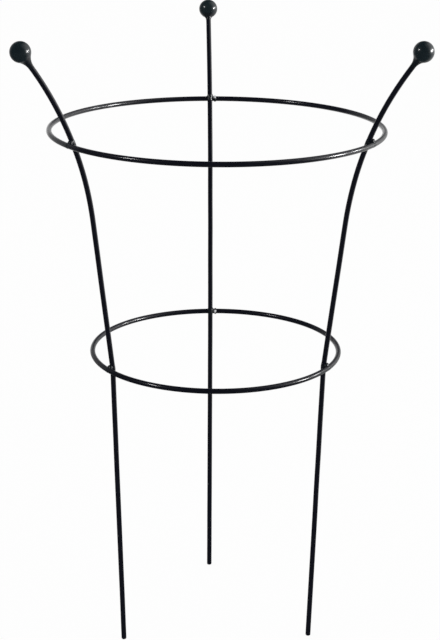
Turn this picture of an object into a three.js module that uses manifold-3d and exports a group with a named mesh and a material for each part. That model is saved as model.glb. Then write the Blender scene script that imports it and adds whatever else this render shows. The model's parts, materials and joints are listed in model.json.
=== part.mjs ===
// A grow through plant support: three bent wire legs with ball tops, standing inside two welded rings.
// Lengths are millimetres and +Z is up. The origin is on the ground, in the middle of the support's
// outer box, and the axis of the rings stands toward -Y of it, because one of the three legs is on +Y.
import * as THREE from "three";
import { mergeVertices } from "three/addons/utils/BufferGeometryUtils.js";
import Module from "manifold-3d";

const wasm = await Module();
wasm.setup();

// Wire, and the gap kept between pieces that touch
const WIRE_DIAMETER = 6;
const JOINT_GAP = 0.3;

// Rings, measured to the middle of their wire
const TOP_RING_RADIUS = 200;
const TOP_RING_HEIGHT = 645;
const LOWER_RING_RADIUS = 153;
const LOWER_RING_HEIGHT = 367;

// The butt weld that closes each ring just beside the back leg
const RING_ROOT_GAP = 1.6;
const SEAM_LENGTH = 4;
const SEAM_CROWN = 0.9;

// Legs: a straight run into the ground, a knee at the lower ring, a second straight run, and a long
// bend round the top ring that ends in a short straight run to the ball
const FOOT_RADIUS = 136;
const FOOT_ROUNDING = 1.4;
const KNEE_BEND_RADIUS = 50;
const RUN_INSET = 18.4; // how far inside the top ring the second run would pass if it went on straight
const FLARE_BEND_RADIUS = 400;
const FLARE_PAST_RING = 98.6; // how much of the long bend lies beyond the top ring
const BALL_RUN = 26; // from the end of the long bend to the middle of the ball

// Balls, and the weld fillet under each
const BALL_DIAMETER = 24;
const SOCKET_DEPTH = 10;
const NECK_FILLET_RADIUS = 12;

// Weld beads in the crook above each ring, where a leg crosses it
const BEAD_LENGTH = 9.2; // along the ring
const BEAD_HEIGHT = 7.6; // along the leg
const BEAD_DEPTH = 6.8; // away from the axis of the rings
const BEAD_RISE = 2.4; // above the middle of the crossing
const BEAD_PUSH = 0.6; // outward from the middle of the crossing
const BEAD_ROOT_RADIUS = 2; // round the middle of the crossing, where the weld metal doesn't reach

// How the three legs stand, and how far each one's beads drift round the ring, as shares of their length
const LEGS = [
  { name: "left_front", azimuth: THREE.MathUtils.degToRad(210), beadDriftShare: -0.1 },
  { name: "right_front", azimuth: THREE.MathUtils.degToRad(330), beadDriftShare: 0.1 },
  { name: "back", azimuth: THREE.MathUtils.degToRad(90), beadDriftShare: 0 },
];
const BACK_LEG = LEGS[2];

// Steps of the round shapes
const WIRE_SIDES = 12;
const RING_STEPS = 81;
const KNEE_STEPS = 2;
const FLARE_STEPS = 22;
const FOOT_STEPS = 3;
const BALL_SIDES = 24;
const BALL_STEPS = 14;
const NECK_SIDES = 16;
const NECK_STEPS = 5;
const SEAM_SIDES = 16;
const SEAM_STEPS = 8;
const BEAD_SIDES = 20;
const BEAD_STEPS = 12;
const FOOT_FLAT_SHARE = 0.05; // of the foot's rounding: sections nearer to the end than this lie flat

// Sizes that follow from the ones above
const WIRE_RADIUS = WIRE_DIAMETER / 2;
const BORE_RADIUS = WIRE_RADIUS + JOINT_GAP;
const CROSSING = WIRE_DIAMETER + JOINT_GAP; // between the middles of two wires that cross and touch
const BALL_RADIUS = BALL_DIAMETER / 2;

// The direction of a line in a leg's upright plane that leans outward by this angle, and its outer side
const along = (lean) => new THREE.Vector2(Math.sin(lean), Math.cos(lean));
const outward = (lean) => new THREE.Vector2(Math.cos(lean), -Math.sin(lean));

// A point of a leg's upright plane in space, before the leg is turned to its place round the rings
const inLegPlane = (point) => new THREE.Vector3(point.x, 0, point.y);

// The middle line of a bent wire, given by the sections that its bends need
class WireLine extends THREE.Curve {
  constructor(sections) {
    super();
    this.sections = sections;
  }

  sectionAt(share) {
    return this.sections[Math.round(share * (this.sections.length - 1))];
  }

  getPoint(share, target = new THREE.Vector3()) {
    return target.copy(this.sectionAt(share).point);
  }

  getTangent(share, target = new THREE.Vector3()) {
    return target.copy(this.sectionAt(share).direction);
  }

  getUtoTmapping(share) {
    return share;
  }
}

// Round wire of this radius along a wire line
function wireAlong(line, radius) {
  const profile = new THREE.Shape().absarc(0, 0, radius, 0, 2 * Math.PI);
  return new THREE.ExtrudeGeometry(profile, {
    extrudePath: line,
    steps: line.sections.length - 1,
    curveSegments: WIRE_SIDES / 2,
  });
}

// The sections of a bend that starts at a point and turns outward from one lean to another
function bend(start, fromLean, toLean, radius, steps) {
  const centre = start.clone().addScaledVector(outward(fromLean), radius);
  return Array.from({ length: steps + 1 }, (_, step) => {
    const lean = THREE.MathUtils.lerp(fromLean, toLean, step / steps);
    return { point: centre.clone().addScaledVector(outward(lean), -radius), lean };
  });
}

// A leg in its own upright plane: x is the distance from the axis of the rings and y is the height
function planLeg() {
  const foot = new THREE.Vector2(FOOT_RADIUS, 0);
  const knee = new THREE.Vector2(LOWER_RING_RADIUS - CROSSING, LOWER_RING_HEIGHT);
  const topRing = new THREE.Vector2(TOP_RING_RADIUS, TOP_RING_HEIGHT);

  const footLean = Math.atan2(knee.x - foot.x, knee.y - foot.y);
  const toTopRing = topRing.clone().sub(knee);
  const inset = Math.asin(RUN_INSET / toTopRing.length());
  const runLean = Math.atan2(toTopRing.x, toTopRing.y) - inset;

  const kneeReach = KNEE_BEND_RADIUS * Math.tan((runLean - footLean) / 2);
  const kneeStart = knee.clone().addScaledVector(along(footLean), -kneeReach);

  // The long bend starts where it has to for the leg to touch the inside of the top ring
  const toContact = FLARE_BEND_RADIUS - CROSSING;
  const toLine = FLARE_BEND_RADIUS - RUN_INSET;
  const beforeRing = Math.sqrt(toContact ** 2 - toLine ** 2);
  const runLength = toTopRing.dot(along(runLean)) - beforeRing;
  const flareStart = knee.clone().addScaledVector(along(runLean), runLength);
  const flareCentre = flareStart.clone().addScaledVector(outward(runLean), FLARE_BEND_RADIUS);
  const contactLean = Math.atan2(topRing.y - flareCentre.y, flareCentre.x - topRing.x);
  const ballLean = contactLean + FLARE_PAST_RING / FLARE_BEND_RADIUS;

  const flare = bend(flareStart, runLean, ballLean, FLARE_BEND_RADIUS, FLARE_STEPS);
  const ball = flare.at(-1).point.clone().addScaledVector(along(ballLean), BALL_RUN);
  const socketFloor = BALL_RADIUS - SOCKET_DEPTH + JOINT_GAP;
  const end = ball.clone().addScaledVector(along(ballLean), -socketFloor);

  const footSections = Array.from({ length: FOOT_STEPS + 1 }, (_, step) => {
    const rise = FOOT_ROUNDING * (1 - Math.cos((step / FOOT_STEPS) * (Math.PI / 2)));
    return { point: foot.clone().addScaledVector(along(footLean), rise), lean: footLean };
  });
  const sections = [
    ...footSections,
    ...bend(kneeStart, footLean, runLean, KNEE_BEND_RADIUS, KNEE_STEPS),
    ...flare,
    { point: end, lean: ballLean },
  ];
  const kneeLean = (footLean + runLean) / 2;
  return { foot, footLean, kneeLean, contactLean, ballLean, ball, sections };
}

const leg = planLeg();
const legLine = new WireLine(
  leg.sections.map(({ point, lean }) => ({ point: inLegPlane(point), direction: inLegPlane(along(lean)) })),
);

// Rounds the foot's edge and leaves a small level face for the leg to stand on
function roundFoot(geometry) {
  const foot = inLegPlane(leg.foot);
  const axis = inLegPlane(along(leg.footLean));
  const positions = geometry.getAttribute("position");
  const vertex = new THREE.Vector3();
  for (let index = 0; index < positions.count; index += 1) {
    vertex.fromBufferAttribute(positions, index);
    const rise = vertex.clone().sub(foot).dot(axis);
    if (rise < FOOT_ROUNDING) {
      const middle = foot.clone().addScaledVector(axis, rise);
      const left = FOOT_ROUNDING - Math.max(rise, 0);
      const radius = WIRE_RADIUS - FOOT_ROUNDING + Math.sqrt(FOOT_ROUNDING ** 2 - left ** 2);
      vertex.sub(middle).multiplyScalar(radius / WIRE_RADIUS).add(middle);
      if (rise < FOOT_FLAT_SHARE * FOOT_ROUNDING) {
        vertex.z = 0;
      }
      positions.setXYZ(index, vertex.x, vertex.y, vertex.z);
    }
  }
  geometry.computeVertexNormals();
  return geometry;
}

// How far round the ring, from the middle of the back leg, the middle of the seam weld lies
const SEAM_OFFSET = BEAD_LENGTH * (0.5 - BACK_LEG.beadDriftShare) + JOINT_GAP + SEAM_LENGTH / 2;

const seamAzimuth = (ringRadius) => BACK_LEG.azimuth - SEAM_OFFSET / ringRadius;

// A ring's wire goes once round from one side of its seam to the other
function ringLine(radius, height) {
  const halfGap = RING_ROOT_GAP / 2 / radius;
  const first = seamAzimuth(radius) + halfGap;
  const last = seamAzimuth(radius) + 2 * Math.PI - halfGap;
  const sections = Array.from({ length: RING_STEPS + 1 }, (_, step) => {
    const azimuth = THREE.MathUtils.lerp(first, last, step / RING_STEPS);
    const spoke = new THREE.Vector3(Math.cos(azimuth), Math.sin(azimuth), 0);
    const point = spoke.clone().multiplyScalar(radius).setZ(height);
    return { point, direction: new THREE.Vector3(-spoke.y, spoke.x, 0) };
  });
  return new WireLine(sections);
}

// The two rings, with how each leg leans where it crosses them
const RINGS = [
  { name: "top_ring", radius: TOP_RING_RADIUS, height: TOP_RING_HEIGHT, lean: leg.contactLean },
  { name: "lower_ring", radius: LOWER_RING_RADIUS, height: LOWER_RING_HEIGHT, lean: leg.kneeLean },
];
for (const ring of RINGS) {
  ring.line = ringLine(ring.radius, ring.height);
}

// A body turned from a profile of radius and height points, with its axis on Z
function turned(profile, sides) {
  return new THREE.LatheGeometry(profile, sides).rotateX(Math.PI / 2);
}

// A round stretch of a profile, from one angle to another about a centre
function profileArc(centre, radius, fromAngle, toAngle, steps) {
  return Array.from({ length: steps + 1 }, (_, step) => {
    const angle = THREE.MathUtils.lerp(fromAngle, toAngle, step / steps);
    return new THREE.Vector2(centre.x + radius * Math.cos(angle), centre.y + radius * Math.sin(angle));
  });
}

// A ball with a blind socket below for the end of the leg
function ballGeometry() {
  const middle = new THREE.Vector2();
  const mouth = -Math.acos(BORE_RADIUS / BALL_RADIUS);
  const floor = SOCKET_DEPTH - BALL_RADIUS;
  const profile = [
    new THREE.Vector2(0, floor),
    new THREE.Vector2(BORE_RADIUS, floor),
    ...profileArc(middle, BALL_RADIUS, mouth, Math.PI / 2, BALL_STEPS),
  ];
  profile.at(-1).x = 0;
  return turned(profile, BALL_SIDES);
}

// The hollow weld fillet between the ball and the leg, measured from the middle of the ball downward
function neckGeometry() {
  const seatRadius = BALL_RADIUS + JOINT_GAP;
  const toFillet = BALL_RADIUS + NECK_FILLET_RADIUS;
  const centre = new THREE.Vector2(WIRE_RADIUS + NECK_FILLET_RADIUS, 0);
  centre.y = -Math.sqrt(toFillet ** 2 - centre.x ** 2);
  // Angles about the middle of the fillet: where it leaves the bore and where it reaches the ball
  const tail = Math.PI - Math.acos((centre.x - BORE_RADIUS) / NECK_FILLET_RADIUS);
  const towardBall = Math.PI - Math.atan2(-centre.y, centre.x);
  const sides = toFillet ** 2 + NECK_FILLET_RADIUS ** 2 - seatRadius ** 2;
  const lip = towardBall + Math.acos(sides / (2 * toFillet * NECK_FILLET_RADIUS));
  const fillet = profileArc(centre, NECK_FILLET_RADIUS, tail, lip, NECK_STEPS);
  const lipPoint = fillet.at(-1);
  const seat = profileArc(
    new THREE.Vector2(),
    seatRadius,
    Math.atan2(lipPoint.y, lipPoint.x),
    -Math.acos(BORE_RADIUS / seatRadius),
    NECK_STEPS,
  );
  const profile = [...fillet, ...seat.slice(1)];
  profile.push(profile[0].clone());
  return turned(profile, NECK_SIDES);
}

// The seam weld: a web between the two ends of the ring's wire and a low collar over them
function seamGeometry() {
  const web = RING_ROOT_GAP / 2 - JOINT_GAP;
  const half = SEAM_LENGTH / 2;
  const collar = Array.from({ length: SEAM_STEPS + 1 }, (_, step) => {
    const share = (2 * step) / SEAM_STEPS - 1;
    return new THREE.Vector2(BORE_RADIUS + (SEAM_CROWN - JOINT_GAP) * (1 - share ** 2), half * share);
  });
  const profile = [
    new THREE.Vector2(0, -web),
    new THREE.Vector2(BORE_RADIUS, -web),
    ...collar,
    new THREE.Vector2(BORE_RADIUS, web),
    new THREE.Vector2(0, web),
  ];
  return turned(profile, SEAM_SIDES);
}

// A closed geometry as a solid that can be cut
function toSolid(geometry) {
  const bare = geometry.clone();
  bare.deleteAttribute("normal");
  bare.deleteAttribute("uv");
  const merged = mergeVertices(bare);
  const vertProperties = Float32Array.from(merged.getAttribute("position").array);
  const triVerts = Uint32Array.from(merged.index.array);
  return new wasm.Manifold(new wasm.Mesh({ numProp: 3, vertProperties, triVerts }));
}

function toGeometry(solid) {
  const { vertProperties, triVerts } = solid.getMesh();
  const geometry = new THREE.BufferGeometry();
  geometry.setAttribute("position", new THREE.BufferAttribute(vertProperties, 3));
  geometry.setIndex(new THREE.BufferAttribute(triVerts, 1));
  geometry.computeVertexNormals();
  return geometry;
}

// A weld bead that fills the crook where a leg crosses a ring, cut clear of both wires
function beadGeometry({ azimuth, beadDriftShare }, ring) {
  const turn = new THREE.Matrix4().makeRotationZ(azimuth);
  const ringMiddle = new THREE.Vector2(ring.radius, ring.height);
  const middle = ringMiddle.addScaledVector(outward(ring.lean), -CROSSING / 2);
  const place = turn
    .clone()
    .multiply(new THREE.Matrix4().setPosition(inLegPlane(middle)))
    .multiply(new THREE.Matrix4().makeRotationY(ring.lean));
  const blob = new THREE.SphereGeometry(1, BEAD_SIDES, BEAD_STEPS)
    .scale(BEAD_DEPTH / 2, BEAD_LENGTH / 2, BEAD_HEIGHT / 2)
    .translate(BEAD_PUSH, BEAD_LENGTH * beadDriftShare, BEAD_RISE)
    .applyMatrix4(place);
  const legRoom = wireAlong(legLine, BORE_RADIUS).applyMatrix4(turn);
  const ringRoom = wireAlong(ring.line, BORE_RADIUS);
  const root = new THREE.CylinderGeometry(BEAD_ROOT_RADIUS, BEAD_ROOT_RADIUS, CROSSING, BEAD_SIDES)
    .rotateZ(Math.PI / 2)
    .applyMatrix4(place);
  const rooms = [legRoom, ringRoom, root].map(toSolid);
  return toGeometry(wasm.Manifold.difference([toSolid(blob), ...rooms]));
}

// The glossy black coating over steel, a little greener on the balls and the welds
function coating(color, roughness) {
  return new THREE.MeshStandardMaterial({ color, roughness, metalness: 0 });
}
const wireCoating = () => coating(0x121315, 0.25);
const ballCoating = () => coating(0x161e21, 0.2);
const weldCoating = () => coating(0x181d1f, 0.35);

function named(name, geometry, material) {
  const mesh = new THREE.Mesh(geometry, material);
  mesh.name = name;
  return mesh;
}

// A leg with its ball and the weld fillet between them
function makeLeg({ name, azimuth }) {
  const group = new THREE.Group();
  group.rotation.z = azimuth;
  group.add(named(`${name}_leg`, roundFoot(wireAlong(legLine, WIRE_RADIUS)), wireCoating()));

  const top = new THREE.Group();
  top.position.copy(inLegPlane(leg.ball));
  top.rotation.y = leg.ballLean;
  top.add(named(`${name}_ball`, ballGeometry(), ballCoating()));
  top.add(named(`${name}_ball_weld`, neckGeometry(), weldCoating()));
  group.add(top);
  return group;
}

// A ring's wire and the weld that closes it
function makeRing(ring) {
  const group = new THREE.Group();
  group.add(named(ring.name, wireAlong(ring.line, WIRE_RADIUS), wireCoating()));

  const spoke = new THREE.Group();
  spoke.rotation.z = seamAzimuth(ring.radius);
  const seam = named(`${ring.name}_seam_weld`, seamGeometry(), weldCoating());
  seam.position.set(ring.radius, 0, ring.height);
  seam.rotation.x = -Math.PI / 2;
  spoke.add(seam);
  group.add(spoke);
  return group;
}

// Everything round the axis of the rings, moved so that the origin is in the middle of the outer box
function makeSupport() {
  const frontReach = TOP_RING_RADIUS + WIRE_RADIUS;
  const backReach = leg.ball.x + BALL_RADIUS;
  const frame = new THREE.Group();
  frame.position.y = (frontReach - backReach) / 2;
  frame.add(...RINGS.map(makeRing));
  frame.add(...LEGS.map(makeLeg));
  for (const legPlace of LEGS) {
    for (const ring of RINGS) {
      const weldName = `${legPlace.name}_${ring.name}_weld`;
      frame.add(named(weldName, beadGeometry(legPlace, ring), weldCoating()));
    }
  }
  const support = new THREE.Group();
  support.add(frame);
  return support;
}

export default makeSupport();
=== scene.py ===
import json
import math
from collections import namedtuple

import bmesh
import bpy
from mathutils import Matrix, Quaternion, Vector, noise

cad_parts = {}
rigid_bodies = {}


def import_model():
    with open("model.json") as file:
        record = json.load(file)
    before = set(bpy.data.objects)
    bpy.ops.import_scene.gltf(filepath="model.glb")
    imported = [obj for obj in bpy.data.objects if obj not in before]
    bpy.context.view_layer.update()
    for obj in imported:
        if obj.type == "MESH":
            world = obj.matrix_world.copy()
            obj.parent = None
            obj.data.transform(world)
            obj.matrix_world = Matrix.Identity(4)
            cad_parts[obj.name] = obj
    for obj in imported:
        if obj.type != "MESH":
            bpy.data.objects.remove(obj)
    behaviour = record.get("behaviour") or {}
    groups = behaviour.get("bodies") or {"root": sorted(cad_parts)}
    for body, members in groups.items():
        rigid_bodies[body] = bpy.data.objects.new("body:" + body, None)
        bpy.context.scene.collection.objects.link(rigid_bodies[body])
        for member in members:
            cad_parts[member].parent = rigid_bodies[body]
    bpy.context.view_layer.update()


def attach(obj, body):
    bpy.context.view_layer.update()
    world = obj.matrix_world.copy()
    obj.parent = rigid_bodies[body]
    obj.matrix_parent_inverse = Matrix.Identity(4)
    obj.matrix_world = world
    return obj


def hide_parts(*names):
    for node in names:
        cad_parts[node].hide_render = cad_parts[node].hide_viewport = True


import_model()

# Lengths are millimetres, and each finished piece is scaled to metres once
MM = 0.001

# Wire, the gap that the frame keeps where two wires cross, and the enamel that partly fills it
WIRE_RADIUS = 3
JOINT_GAP = 0.3
CROSSING = 2 * WIRE_RADIUS + JOINT_GAP
ENAMEL = 0.14
COATED_RADIUS = WIRE_RADIUS + ENAMEL

# Rings, measured to the middle of their wire
TOP_RING_RADIUS = 200
TOP_RING_HEIGHT = 645
LOWER_RING_RADIUS = 153
LOWER_RING_HEIGHT = 367

# The butt weld that closes each ring just beside the back leg
SEAM_OFFSET = 6.9
SEAM_ROOT = 0.5
SEAM_CROWN = 0.9
SEAM_REACH = 2.3
SEAM_OVERLAP = 0.1

# Legs
FOOT_RADIUS = 136
FOOT_ROUNDING = 1.4
FOOT_STEPS = 10
KNEE_BEND_RADIUS = 50
RUN_INSET = 18.4
FLARE_BEND_RADIUS = 400
FLARE_PAST_RING = 98.6
BALL_RUN = 26
STRAIGHT_STEP = 5
BEND_STEP = 1.2
HAND_WAVER = 0.14
WAVER_LENGTH = 55
WAVER_SPACING = 1000

# Without a seed of its own, the waver would differ from run to run
WAVER_SEED = 5
noise.seed_set(WAVER_SEED)

# Balls and the weld fillet under each
BALL_RADIUS = 12
SOCKET_DEPTH = 10
NECK_SKIN = 0.02
NECK_SINK = 0.07
NECK_SINK_REACH = 2.5
NECK_LUMP = 0.04
NECK_LUMP_LENGTH = 4
BALL_UNEVENNESS = 0.05

# The skin of weld metal and coating at a crossing
SKIN = 0.16
SKIN_REACH = 7.5
SKIN_STEP = 0.5
SKIN_SINK = 0.5
WELD_VOXEL = 0.3
WELD_SMOOTHING = 14
WELD_SMOOTHING_SHARE = 0.5
RIPPLE_HEIGHT = 0.035
RIPPLE_LENGTH = 2.6

# Mesh steps, how near corners are made one, and the angle from which an edge is drawn sharp
MERGE_DISTANCE = 0.001
SHARP_ANGLE = math.radians(50)
WIRE_SIDES = 32
BALL_SIDES = 96
BALL_STEPS = 60
NECK_SIDES = 72
NECK_STEPS = 30
NECK_RUNOUT_STEPS = 6
SEAM_STEPS = 20
LUMP_SIDES = 24
LUMP_STEPS = 14
RING_STEPS = 540

# The camera, fitted to the photograph's outlines
CAMERA_PLACE = Vector((-93.3, -1908.4, 1015.3))
CAMERA_AIM = Vector((7.0, -0.4, 393.5))
CAMERA_ROLL = math.radians(0.43)
CAMERA_LENS = 89.45
CAMERA_SENSOR = 36

# The floor
FLOOR_RADIUS = 14000
FLOOR_SIDES = 96

# How each leg stands, the fillet under its ball, and the lumps of its two other welds. A lump is
# its middle and its half sizes, each as outward from the axis of the rings, round the ring
# counter-clockwise, and up along the leg.
BACK_AZIMUTH = math.radians(90)
Leg = namedtuple("Leg", "name azimuth neck_fillet top_lumps lower_lumps")
LEGS = [
    Leg(
        "left_front",
        math.radians(210),
        21,
        [((0.5, 1.9, 2.4), (3.0, 3.4, 3.2)), ((0.2, -2.5, -1.7), (2.6, 2.6, 2.4))],
        [((0.6, 0.4, 2.6), (3.0, 4.2, 3.2)), ((0.3, 2.2, -1.4), (2.2, 2.2, 1.8))],
    ),
    Leg(
        "right_front",
        math.radians(330),
        16,
        [((0.6, 2.2, 2.8), (3.0, 3.2, 3.4)), ((0.3, 2.0, -2.0), (2.2, 2.2, 1.8))],
        [((0.6, 0.2, 2.6), (3.0, 4.0, 3.2)), ((0.4, 3.0, 1.8), (2.2, 2.0, 2.0))],
    ),
    Leg(
        "back",
        BACK_AZIMUTH,
        9,
        [((0.4, -1.8, 2.8), (2.9, 2.9, 3.3)), ((0.5, 1.6, 2.0), (2.7, 2.8, 2.4))],
        [((0.5, -1.9, 2.6), (2.9, 2.9, 3.1)), ((0.5, 1.8, 2.2), (2.6, 2.6, 2.6))],
    ),
]

# One cross-section of a round form: where its middle is, which way the form runs, and its radius
Section = namedtuple("Section", "place direction radius")


def along(lean):
    """The direction of a line that leans outward, in a leg's upright plane."""
    return Vector((math.sin(lean), 0, math.cos(lean)))


def outward(lean):
    return Vector((math.cos(lean), 0, -math.sin(lean)))


def blend_between(first, second, share):
    return first + (second - first) * share


def shares(steps):
    return [step / steps for step in range(steps + 1)]


def straight(start, end, lean):
    """Sections of a straight run, without its last one."""
    steps = max(1, round((end - start).length / STRAIGHT_STEP))
    places = [start.lerp(end, share) for share in shares(steps)[:-1]]
    return [Section(place, along(lean), COATED_RADIUS) for place in places]


def bend(start, from_lean, to_lean, radius):
    """Sections of a bend that starts at a point and turns outward from one lean to another."""
    centre = start + outward(from_lean) * radius
    steps = max(2, round((to_lean - from_lean) * radius / BEND_STEP))
    leans = [blend_between(from_lean, to_lean, share) for share in shares(steps)]
    return [Section(centre - outward(lean) * radius, along(lean), COATED_RADIUS) for lean in leans]


LegPlan = namedtuple("LegPlan", "sections ball ball_lean top_lean lower_lean")


def plan_leg():
    """A leg in its own upright plane, with x outward from the axis of the rings and z up."""
    foot = Vector((FOOT_RADIUS, 0, 0))
    knee = Vector((LOWER_RING_RADIUS - CROSSING, 0, LOWER_RING_HEIGHT))
    top_ring = Vector((TOP_RING_RADIUS, 0, TOP_RING_HEIGHT))

    foot_lean = math.atan2(knee.x - foot.x, knee.z - foot.z)
    to_top_ring = top_ring - knee
    run_lean = math.atan2(to_top_ring.x, to_top_ring.z) - math.asin(RUN_INSET / to_top_ring.length)
    knee_start = knee - along(foot_lean) * KNEE_BEND_RADIUS * math.tan((run_lean - foot_lean) / 2)

    # The long bend starts where it has to for the leg to touch the inside of the top ring
    to_contact = FLARE_BEND_RADIUS - CROSSING
    to_line = FLARE_BEND_RADIUS - RUN_INSET
    before_ring = math.sqrt(to_contact**2 - to_line**2)
    flare_start = knee + along(run_lean) * (to_top_ring.dot(along(run_lean)) - before_ring)
    top_lean = run_lean + math.acos(to_line / to_contact)
    ball_lean = top_lean + FLARE_PAST_RING / FLARE_BEND_RADIUS

    knee_bend = bend(knee_start, foot_lean, run_lean, KNEE_BEND_RADIUS)
    flare = bend(flare_start, run_lean, ball_lean, FLARE_BEND_RADIUS)
    ball = flare[-1].place + along(ball_lean) * BALL_RUN
    end = ball - along(ball_lean) * (BALL_RADIUS - SOCKET_DEPTH + JOINT_GAP)
    rounded = [round_foot(foot, foot_lean, share) for share in shares(FOOT_STEPS)]
    sections = [
        *rounded,
        *straight(foot + along(foot_lean) * STRAIGHT_STEP, knee_start, foot_lean),
        *knee_bend,
        *straight(knee_bend[-1].place, flare_start, run_lean)[1:],
        *flare,
        Section(end, along(ball_lean), COATED_RADIUS),
    ]
    return LegPlan(sections, ball, ball_lean, top_lean, (foot_lean + run_lean) / 2)


def round_foot(foot, lean, share):
    """A section of the foot's rounded edge, from its level face up to the full wire."""
    angle = share * math.pi / 2
    rise = FOOT_ROUNDING * (1 - math.cos(angle))
    radius = COATED_RADIUS - FOOT_ROUNDING * (1 - math.sin(angle))
    return Section(foot + along(lean) * rise, along(lean), radius)


leg_plan = plan_leg()

# The axis of the rings stands off the origin, which is in the middle of the support's outer box
FRONT_REACH = TOP_RING_RADIUS + WIRE_RADIUS
BACK_REACH = leg_plan.ball.x + BALL_RADIUS
RING_AXIS = Matrix.Translation((0, (FRONT_REACH - BACK_REACH) / 2, 0))


def leg_place(azimuth):
    """Turns a leg's upright plane to its place about the axis of the rings."""
    return RING_AXIS @ Matrix.Rotation(azimuth, 4, "Z")


def sweep(form, sections, across, sides):
    """Adds a round form through sections whose middles lie in the plane square to one direction."""
    loops = []
    for section in sections:
        other = section.direction.cross(across)
        loop = []
        for side in range(sides):
            angle = 2 * math.pi * side / sides
            spoke = across * math.cos(angle) + other * math.sin(angle)
            loop.append(form.verts.new(section.place + spoke * section.radius))
        loops.append(loop)
    for first, second in zip(loops, loops[1:]):
        for side in range(sides):
            after = (side + 1) % sides
            form.faces.new((first[side], first[after], second[after], second[side]))
    form.faces.new(loops[0][::-1])
    form.faces.new(loops[-1])


UP = Vector((0, 0, 1))
SIDEWAYS = Vector((0, 1, 0))


def turned(form, profile, sides):
    """Adds a form turned about the upright axis, from a list of radius and height."""
    sections = [Section(UP * height, UP, radius) for radius, height in profile]
    sweep(form, sections, SIDEWAYS, sides)


def to_mesh(form, name):
    bmesh.ops.remove_doubles(form, verts=form.verts, dist=MERGE_DISTANCE)
    bmesh.ops.recalc_face_normals(form, faces=form.faces)
    mesh = bpy.data.meshes.new(name)
    form.to_mesh(mesh)
    form.free()
    return mesh


def finished_name(node):
    return f"{node}_finished"


def finish_piece(mesh, place, node, material):
    """Puts a piece in its place in metres, smooth and coated, where its node is in the frame."""
    mesh.transform(Matrix.Scale(MM, 4) @ place)
    mesh.shade_smooth()
    mesh.set_sharp_from_angle(angle=SHARP_ANGLE)
    mesh.materials.clear()
    mesh.materials.append(material)
    piece = bpy.data.objects.new(finished_name(node), mesh)
    bpy.context.scene.collection.objects.link(piece)
    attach(piece, "root")
    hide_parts(node)


def wavered(section, shift):
    """A section moved a little, as wire is never bent quite true by hand."""
    drift = noise.noise_vector((section.place + Vector((shift, 0, 0))) / WAVER_LENGTH)
    return section._replace(place=section.place + drift * HAND_WAVER)


def make_leg(leg, count, material):
    """A leg's wire, with its own waver by its count."""
    form = bmesh.new()
    sections = [wavered(section, WAVER_SPACING * count) for section in leg_plan.sections]
    sweep(form, sections, SIDEWAYS, WIRE_SIDES)
    mesh = to_mesh(form, leg.name)
    for vertex in mesh.vertices:
        vertex.co.z = max(vertex.co.z, 0)
    finish_piece(mesh, leg_place(leg.azimuth), f"{leg.name}_leg", material)


def on_ring(radius, height, azimuth, wire_radius):
    spoke = Vector((math.cos(azimuth), math.sin(azimuth), 0))
    return Section(spoke * radius + UP * height, UP.cross(spoke), wire_radius)


def seam_azimuth(radius):
    return BACK_AZIMUTH - SEAM_OFFSET / radius


def make_ring(name, radius, height, material):
    """A ring's wire, once round from one side of its seam to the other."""
    half_root = SEAM_ROOT / radius
    sections = []
    for share in shares(RING_STEPS):
        turn = blend_between(half_root, 2 * math.pi - half_root, share)
        sections.append(on_ring(radius, height, seam_azimuth(radius) + turn, COATED_RADIUS))
    form = bmesh.new()
    sweep(form, sections, UP, WIRE_SIDES)
    finish_piece(to_mesh(form, name), RING_AXIS, name, material)


def make_seam(name, radius, height, material):
    """The low collar of weld over the two ends of a ring's wire."""
    form = bmesh.new()
    sections = []
    for share in shares(SEAM_STEPS):
        reach = blend_between(-SEAM_REACH, SEAM_REACH, share)
        swell = math.cos(math.pi / 2 * reach / SEAM_REACH) ** 2
        collar = COATED_RADIUS - SEAM_OVERLAP + (SEAM_CROWN + SEAM_OVERLAP) * swell
        azimuth = seam_azimuth(radius) + reach / radius
        sections.append(on_ring(radius, height, azimuth, collar))
    sweep(form, sections, UP, WIRE_SIDES)
    mesh = to_mesh(form, name)
    roughen(mesh, RIPPLE_HEIGHT, RIPPLE_LENGTH)
    finish_piece(mesh, RING_AXIS, f"{name}_seam_weld", material)


def roughen(mesh, height, length):
    """Moves a surface in and out by a soft unevenness of this height and length."""
    moves = [vertex.normal * noise.noise(vertex.co / length) * height for vertex in mesh.vertices]
    for vertex, move in zip(mesh.vertices, moves):
        vertex.co += move


def ball_place(leg):
    upright = Matrix.Translation(leg_plan.ball) @ Matrix.Rotation(leg_plan.ball_lean, 4, "Y")
    return leg_place(leg.azimuth) @ upright


def make_ball(leg, material):
    """A ball with a blind socket below for the end of the leg."""
    bore = WIRE_RADIUS + JOINT_GAP
    mouth = -math.acos(bore / BALL_RADIUS)
    floor = SOCKET_DEPTH - BALL_RADIUS
    profile = [(0, floor), (bore, floor)]
    for share in shares(BALL_STEPS):
        angle = blend_between(mouth, math.pi / 2, share)
        profile.append((BALL_RADIUS * math.cos(angle), BALL_RADIUS * math.sin(angle)))
    form = bmesh.new()
    turned(form, profile, BALL_SIDES)
    mesh = to_mesh(form, leg.name)
    roughen(mesh, BALL_UNEVENNESS, BALL_RADIUS)
    finish_piece(mesh, ball_place(leg), f"{leg.name}_ball", material)


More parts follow.
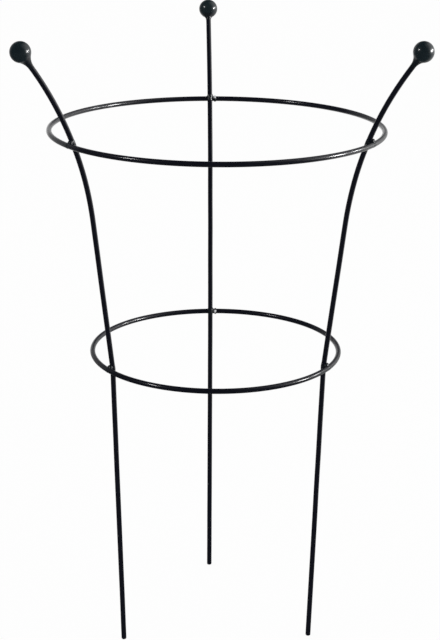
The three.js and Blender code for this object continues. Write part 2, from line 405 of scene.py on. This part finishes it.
def make_neck(leg, material):
    """The hollow weld fillet between a ball and its leg. It runs out as a thin skin over both."""
    centre_radius = COATED_RADIUS + leg.neck_fillet
    drop = math.sqrt((BALL_RADIUS + leg.neck_fillet) ** 2 - centre_radius**2)
    toward_ball = math.atan2(drop, centre_radius)
    ball_turn = NECK_SINK_REACH / BALL_RADIUS
    profile = [(0, -drop - NECK_SINK_REACH)]
    for share in shares(NECK_RUNOUT_STEPS)[:-1]:
        radius = COATED_RADIUS + blend_between(-NECK_SINK, NECK_SKIN, share)
        profile.append((radius, -drop - NECK_SINK_REACH * (1 - share)))
    hollow = leg.neck_fillet - NECK_SKIN
    for share in shares(NECK_STEPS):
        angle = math.pi - toward_ball * share
        profile.append((centre_radius + hollow * math.cos(angle), hollow * math.sin(angle) - drop))
    for share in shares(NECK_RUNOUT_STEPS)[1:]:
        radius = BALL_RADIUS + blend_between(NECK_SKIN, -NECK_SINK, share)
        angle = -toward_ball + ball_turn * share
        profile.append((radius * math.cos(angle), radius * math.sin(angle)))
    profile.append((0, profile[-1][1]))
    form = bmesh.new()
    turned(form, profile, NECK_SIDES)
    mesh = to_mesh(form, leg.name)
    roughen(mesh, NECK_LUMP, NECK_LUMP_LENGTH)
    finish_piece(mesh, ball_place(leg), f"{leg.name}_ball_weld", material)


def skin_radius(reach):
    """The radius of the coated weld skin over a wire, which sinks into the wire at its ends."""
    swell = math.cos(math.pi / 2 * min(abs(reach) / SKIN_REACH, 1))
    return COATED_RADIUS - SKIN_SINK + (SKIN + SKIN_SINK) * swell


def fused(mesh):
    """One smooth body from forms that overlap."""
    lumps = bpy.data.objects.new("lumps", mesh)
    bpy.context.scene.collection.objects.link(lumps)
    remesh = lumps.modifiers.new("fuse", "REMESH")
    remesh.mode = "VOXEL"
    remesh.voxel_size = WELD_VOXEL
    smooth = lumps.modifiers.new("flow", "SMOOTH")
    smooth.iterations = WELD_SMOOTHING
    smooth.factor = WELD_SMOOTHING_SHARE
    graph = bpy.context.evaluated_depsgraph_get()
    body = bpy.data.meshes.new_from_object(lumps.evaluated_get(graph))
    bpy.data.objects.remove(lumps)
    return body


def make_crossing_weld(leg, ring_name, ring_radius, ring_height, lean, lumps, material):
    """The weld where a leg crosses a ring: lumps that flow into a skin over both wires."""
    form = bmesh.new()
    crossing = Vector((ring_radius, 0, ring_height))
    leg_middle = crossing - outward(lean) * CROSSING
    over_ring = []
    over_leg = []
    for share in shares(round(2 * SKIN_REACH / SKIN_STEP)):
        reach = blend_between(-SKIN_REACH, SKIN_REACH, share)
        skin = skin_radius(reach)
        over_ring.append(on_ring(ring_radius, ring_height, reach / ring_radius, skin))
        over_leg.append(Section(leg_middle + along(lean) * reach, along(lean), skin))
    sweep(form, over_ring, UP, WIRE_SIDES)
    sweep(form, over_leg, SIDEWAYS, WIRE_SIDES)
    between_wires = Matrix.Translation(crossing - outward(lean) * CROSSING / 2)
    place = between_wires @ Matrix.Rotation(lean, 4, "Y")
    for middle, halves in lumps:
        lump = Matrix.Translation(middle) @ Matrix.Diagonal((*halves, 1))
        bmesh.ops.create_uvsphere(
            form, u_segments=LUMP_SIDES, v_segments=LUMP_STEPS, radius=1, matrix=place @ lump
        )
    mesh = bpy.data.meshes.new(leg.name)
    form.to_mesh(mesh)
    form.free()
    body = fused(mesh)
    roughen(body, RIPPLE_HEIGHT, RIPPLE_LENGTH)
    node = f"{leg.name}_{ring_name}_weld"
    finish_piece(body, leg_place(leg.azimuth), node, material)


class Signal:
    """An output of a shader node. Sums and products of signals add Math nodes."""

    def __init__(self, sheet, socket):
        self.sheet = sheet
        self.socket = socket

    def math(self, operation, *values):
        return self.sheet.node("ShaderNodeMath", {"operation": operation}, dict(enumerate(values)))

    def __add__(self, other):
        return self.math("ADD", self, other)

    def __sub__(self, other):
        return self.math("SUBTRACT", self, other)

    def __rsub__(self, other):
        return self.math("SUBTRACT", other, self)

    def __mul__(self, other):
        return self.math("MULTIPLY", self, other)

    def highest(self, other):
        return self.math("MAXIMUM", self, other)

    def at_most(self, other):
        return self.math("MINIMUM", self, other)

    __radd__ = __add__
    __rmul__ = __mul__


# Sockets of a Mix node that share their names with others: its share, its two colours, its result
MIX_SHARE = 0
MIX_COLOURS = (6, 7)
MIX_RESULT = 2


class Sheet:
    """The node sheet of a material or of the world."""

    def __init__(self, owner):
        owner.use_nodes = True
        self.tree = owner.node_tree
        self.tree.nodes.clear()

    def node(self, kind, settings=None, sockets=None, output=0):
        """Any node: its settings come first, then the values or links of its sockets."""
        made = self.tree.nodes.new(kind)
        for name, value in (settings or {}).items():
            if name == "stops":
                set_stops(made.color_ramp.elements, value)
            else:
                setattr(made, name, value)
        for name, value in (sockets or {}).items():
            socket = made.inputs[name]
            if isinstance(value, Signal):
                self.tree.links.new(value.socket, socket)
            else:
                socket.default_value = value
        return Signal(self, made.outputs[output] if made.outputs else None)

    def mixed(self, share, first, second):
        """A colour between two, by a share."""
        sockets = {MIX_SHARE: share, **dict(zip(MIX_COLOURS, (first, second)))}
        return self.node("ShaderNodeMix", {"data_type": "RGBA"}, sockets, MIX_RESULT)

    def vector(self, operation, *values, output="Vector"):
        """Vector maths. A distance or a product of two vectors comes out as a value."""
        sockets = dict(enumerate(values))
        return self.node("ShaderNodeVectorMath", {"operation": operation}, sockets, output)

    def faded(self, value, none, full):
        """A share that rises smoothly from 0 to 1 as a value goes from one limit to the other."""
        sockets = {"Value": value, "From Min": none, "From Max": full}
        return self.node("ShaderNodeMapRange", {"interpolation_type": "SMOOTHSTEP"}, sockets)


def set_stops(elements, stops):
    while len(elements) < len(stops):
        elements.new(1)
    for element, (position, level) in zip(elements, stops):
        element.position = position
        element.color = (level, level, level, 1)


def colour(red, green, blue):
    return (red, green, blue, 1)


def texture(sheet, kind, place, scale, sockets=None):
    return sheet.node(kind, None, {"Vector": place, "Scale": scale, **(sockets or {})})


# Enamels. Deep and thin are the colours of thick and thin patches, and specks the colour of dust.
# Gloss and rough are the ends of the under layer's roughness. Peel and waves say how strong the
# fine and the slow unevenness are, peel size how long the fine one is in millimetres, and coat and
# skin how full and how rough the enamel's clear top is.
Coating = namedtuple("Coating", "deep thin specks gloss rough peel peel_size waves coat skin")
WIRE_COATING = Coating(
    deep=colour(0.0015, 0.0023, 0.0082),
    thin=colour(0.0032, 0.0043, 0.0112),
    specks=colour(0.016, 0.017, 0.020),
    gloss=0.36,
    rough=0.56,
    peel=0.04,
    peel_size=1.3,
    waves=0.04,
    coat=0.90,
    skin=0.15,
)
DULLER_WIRE_COATING = WIRE_COATING._replace(coat=0.68)
BALL_COATING = WIRE_COATING._replace(
    deep=colour(0.0036, 0.0116, 0.0162),
    thin=colour(0.0068, 0.0164, 0.0212),
    peel=0.03,
    peel_size=1.8,
    waves=0.06,
    skin=0.20,
)
WELD_COATING = WIRE_COATING._replace(
    deep=colour(0.0025, 0.0058, 0.0106),
    thin=colour(0.0054, 0.0092, 0.0144),
    peel=0.10,
    peel_size=0.9,
    waves=0.12,
    coat=0.60,
    skin=0.30,
)
UNDER_LAYER_SHINE = 0.10
COAT_THINNING = 0.08
PATCH_SCALE = 45
WAVE_SCALE = 160
SPECK_SCALE = 260
PATCH_STOPS = [(0.35, 0), (0.72, 1)]
SPECK_STOPS = [(0.05, 1), (0.10, 0)]
SPECK_SHARE = 0.6
SPECK_ROUGHNESS = 0.2
WAVE_DEPTH = 0.25
PEEL_DEPTH = 0.04
PATCH_NOISE = {"Detail": 3, "Roughness": 0.55}
PEEL_NOISE = {"Detail": 1}

# A painted highlight on each ring's seam weld: a light grey spot in the enamel's colour stands in
# for a glint. Listed here are the way that it faces, how far from its middle it is still full and
# where it is gone, and the colour of the painted highlight
PAINTED_GLINT_FACING = {"top_ring": (-0.18, -0.62, 0.76), "lower_ring": (-0.25, -0.94, 0.22)}
PAINTED_GLINT_FULL = 1.4
PAINTED_GLINT_END = 2.7
PAINTED_GLINT_COLOUR = colour(0.70, 0.71, 0.73)


def make_coating(name, coating, glint_spot_middle=None):
    """Black enamel: thin and thick patches, orange peel, slow waves, specks of dust, and a painted
    highlight spot where a middle for one is given.
    """
    material = bpy.data.materials.new(name)
    sheet = Sheet(material)
    place = sheet.node("ShaderNodeTexCoord", output="Object")
    patches = texture(sheet, "ShaderNodeTexNoise", place, PATCH_SCALE, PATCH_NOISE)
    slow = texture(sheet, "ShaderNodeTexNoise", place, WAVE_SCALE, PATCH_NOISE)
    peel_scale = 1 / (coating.peel_size * MM)
    peel = texture(sheet, "ShaderNodeTexNoise", place, peel_scale, PEEL_NOISE)
    grains = texture(sheet, "ShaderNodeTexVoronoi", place, SPECK_SCALE)
    specks = sheet.node("ShaderNodeValToRGB", {"stops": SPECK_STOPS}, {"Fac": grains})
    thinness = sheet.node("ShaderNodeValToRGB", {"stops": PATCH_STOPS}, {"Fac": patches})
    enamel = sheet.mixed(thinness, coating.deep, coating.thin)
    waves = sheet.node(
        "ShaderNodeBump",
        None,
        {"Strength": coating.waves, "Distance": WAVE_DEPTH * MM, "Height": slow},
    )
    relief = sheet.node(
        "ShaderNodeBump",
        None,
        {
            "Strength": coating.peel,
            "Distance": PEEL_DEPTH * MM,
            "Height": peel + specks,
            "Normal": waves,
        },
    )
    roughness = coating.gloss + slow * (coating.rough - coating.gloss) + specks * SPECK_ROUGHNESS
    surface = sheet.mixed(specks * SPECK_SHARE, enamel, coating.specks)
    # Painted highlight: near the given middle the colour turns light grey and stands in for a
    # glint, fading out further away.
    if glint_spot_middle is not None:
        apart = sheet.vector("DISTANCE", place, glint_spot_middle, output="Value")
        painted_glint_share = sheet.faded(apart, PAINTED_GLINT_END * MM, PAINTED_GLINT_FULL * MM)
        surface = sheet.mixed(painted_glint_share, surface, PAINTED_GLINT_COLOUR)
    shader = sheet.node(
        "ShaderNodeBsdfPrincipled",
        None,
        {
            "Base Color": surface,
            "Roughness": roughness,
            "Specular IOR Level": UNDER_LAYER_SHINE,
            "Coat Weight": coating.coat - thinness * COAT_THINNING,
            "Coat Roughness": coating.skin,
            "Normal": relief,
        },
    )
    sheet.node("ShaderNodeOutputMaterial", None, {"Surface": shader})
    return material


def glinting_seam_coating(name, radius, height):
    """The weld enamel of a ring's seam, with a painted highlight on its crown."""
    middle = RING_AXIS @ on_ring(radius, height, seam_azimuth(radius), 0).place
    glint_spot_middle = middle + Vector(PAINTED_GLINT_FACING[name]) * (COATED_RADIUS + SEAM_CROWN)
    return make_coating(f"{name}_seam_enamel_painted_glint", WELD_COATING, glint_spot_middle * MM)


# What a glossy surface mirrors: a dim room, with round bright patches. They are the white backdrop
# behind the support, the light wall round the window at the right, the ceiling above the window,
# and the dimmer wall at the left. Turn and rise give a patch's direction, counter-clockwise from +X
# and up from level. It is full up to its inner angle and gone at its outer one. All are in degrees.
ROOM = 0.012
Patch = namedtuple("Patch", "turn rise inner outer level")
PATCHES = [
    Patch(90, -15, 5, 37, 0.75),
    Patch(22, 10, 10, 60, 0.85),
    Patch(0, 50, 10, 40, 0.42),
    Patch(122, 5, 10, 45, 0.35),
]

# The plain light of the world on the support, and how much of the floor is the white that the
# camera sees. The rest of it takes the support's shadow.
PLAIN_LEVEL = 0.9
FLOOR_SHARE = 0.94
FLOOR_COLOUR = colour(0.86, 0.86, 0.86)


def toward(turn, rise):
    across = math.cos(rise)
    return Vector((math.cos(turn) * across, math.sin(turn) * across, math.sin(rise)))


def mirrored_level(sheet, direction):
    """How bright the surroundings are in a mirrored direction."""
    level = ROOM
    for patch in PATCHES:
        middle = toward(math.radians(patch.turn), math.radians(patch.rise))
        facing = sheet.vector("DOT_PRODUCT", direction, middle, output="Value")
        outer, inner = (math.cos(math.radians(angle)) for angle in (patch.outer, patch.inner))
        level = level + sheet.faded(facing, outer, inner) * patch.level
    return level.at_most(1)


def camera_ray(sheet):
    return sheet.node("ShaderNodeLightPath", output="Is Camera Ray")


def mirror_ray(sheet):
    glossy = sheet.node("ShaderNodeLightPath", output="Is Glossy Ray")
    clear = sheet.node("ShaderNodeLightPath", output="Is Transmission Ray")
    return glossy.highest(clear)


def make_floor():
    material = bpy.data.materials.new("white_floor")
    sheet = Sheet(material)
    pale = sheet.node("ShaderNodeBsdfDiffuse", None, {"Color": FLOOR_COLOUR})
    place = sheet.node("ShaderNodeNewGeometry", output="Position")
    from_support = sheet.vector("SUBTRACT", place, UP * (TOP_RING_HEIGHT * MM / 2))
    direction = sheet.vector("NORMALIZE", from_support)
    camera = camera_ray(sheet)
    mirror = mirror_ray(sheet)
    level = camera + mirror * mirrored_level(sheet, direction)
    white = sheet.node("ShaderNodeEmission", None, {"Color": level})
    shown = (camera + mirror) * FLOOR_SHARE
    mixed = sheet.node("ShaderNodeMixShader", None, dict(enumerate((shown, pale, white))))
    sheet.node("ShaderNodeOutputMaterial", None, {"Surface": mixed})
    form = bmesh.new()
    bmesh.ops.create_circle(form, cap_ends=True, segments=FLOOR_SIDES, radius=FLOOR_RADIUS * MM)
    mesh = bpy.data.meshes.new("floor")
    form.to_mesh(mesh)
    form.free()
    mesh.materials.append(material)
    floor = bpy.data.objects.new("floor", mesh)
    bpy.context.scene.collection.objects.link(floor)


def make_world():
    world = bpy.data.worlds.new("studio")
    bpy.context.scene.world = world
    sheet = Sheet(world)
    direction = sheet.node("ShaderNodeTexCoord", output="Generated")
    camera = camera_ray(sheet)
    mirror = mirror_ray(sheet)
    unseen = 1 - camera - mirror
    level = camera + mirror * mirrored_level(sheet, direction) + unseen * PLAIN_LEVEL
    background = sheet.node("ShaderNodeBackground", None, {"Color": level})
    sheet.node("ShaderNodeOutputWorld", None, {"Surface": background})


# Lamps: where each stands, its width and height, its power in watts, and the nodes whose pieces it
# leaves out. Window panes are small and bright. They only show in gloss, as their light would be
# far too strong for the plain level, and they leave out the pieces that mirror no window in the
# photograph. The light wall lights everything. All face the top ring.
NO_WINDOW = [*(f"{leg.name}_leg" for leg in LEGS), "left_front_ball_weld", "right_front_ball_weld"]
NO_LEFT_WINDOW = [*NO_WINDOW, "left_front_ball"]
Lamp = namedtuple("Lamp", "name place width height power left_out")
LAMPS = [
    Lamp("window_pane_near", Vector((2320, -425, 1060)), 419, 460, 45, NO_WINDOW),
    Lamp("window_pane_far", Vector((2320, 348, 1160)), 322, 300, 14, NO_WINDOW),
    Lamp("left_pane_wide", Vector((-2361, -1224, 2043)), 300, 220, 17, NO_LEFT_WINDOW),
    Lamp("left_pane_narrow", Vector((-2446, -1043, 2043)), 120, 220, 3.5, NO_LEFT_WINDOW),
    Lamp("light_wall", Vector((2450, 100, 950)), 3600, 600, 8, None),
]


def left_out_group(lamp):
    """The pieces that a lamp leaves out, as the group that it is linked to."""
    group = bpy.data.collections.new(f"{lamp.name}_left_out")
    for node in lamp.left_out:
        group.objects.link(bpy.data.objects[finished_name(node)])
    for member in group.collection_objects:
        member.light_linking.link_state = "EXCLUDE"
    return group


def make_lamps():
    for lamp in LAMPS:
        data = bpy.data.lights.new(lamp.name, "AREA")
        data.shape = "RECTANGLE"
        data.size = lamp.width * MM
        data.size_y = lamp.height * MM
        data.energy = lamp.power
        shown = bpy.data.objects.new(lamp.name, data)
        bpy.context.scene.collection.objects.link(shown)
        if lamp.left_out:
            shown.visible_diffuse = False
            shown.light_linking.receiver_collection = left_out_group(lamp)
        shown.location = lamp.place * MM
        shown.rotation_mode = "QUATERNION"
        to_ring = UP * TOP_RING_HEIGHT - lamp.place
        shown.rotation_quaternion = to_ring.to_track_quat("-Z", "Y")


def make_camera():
    data = bpy.data.cameras.new("camera")
    data.sensor_width = CAMERA_SENSOR
    data.lens = CAMERA_LENS
    data.clip_end = 2 * FLOOR_RADIUS * MM
    camera = bpy.data.objects.new("camera", data)
    bpy.context.scene.collection.objects.link(camera)
    camera.location = CAMERA_PLACE * MM
    camera.rotation_mode = "QUATERNION"
    level = (CAMERA_AIM - CAMERA_PLACE).to_track_quat("-Z", "Y")
    camera.rotation_quaternion = level @ Quaternion(UP, CAMERA_ROLL)
    bpy.context.scene.camera = camera


RINGS = [
    ("top_ring", TOP_RING_RADIUS, TOP_RING_HEIGHT),
    ("lower_ring", LOWER_RING_RADIUS, LOWER_RING_HEIGHT),
]


def make_support():
    wire = make_coating("wire_enamel", WIRE_COATING)
    ball = make_coating("ball_enamel", BALL_COATING)
    weld = make_coating("weld_enamel", WELD_COATING)
    duller_wire = make_coating("lower_ring_enamel", DULLER_WIRE_COATING)
    for (name, radius, height), enamel in zip(RINGS, (wire, duller_wire)):
        make_ring(name, radius, height, enamel)
        make_seam(name, radius, height, glinting_seam_coating(name, radius, height))
    leans = (leg_plan.top_lean, leg_plan.lower_lean)
    for count, leg in enumerate(LEGS, 1):
        make_leg(leg, count, wire)
        make_ball(leg, ball)
        make_neck(leg, weld)
        crossings = zip(RINGS, leans, (leg.top_lumps, leg.lower_lumps))
        for (name, radius, height), lean, lumps in crossings:
            make_crossing_weld(leg, name, radius, height, lean, lumps, weld)


make_camera()
make_world()
make_floor()
make_support()
make_lamps()
bpy.context.scene.view_settings.view_transform = "Standard"
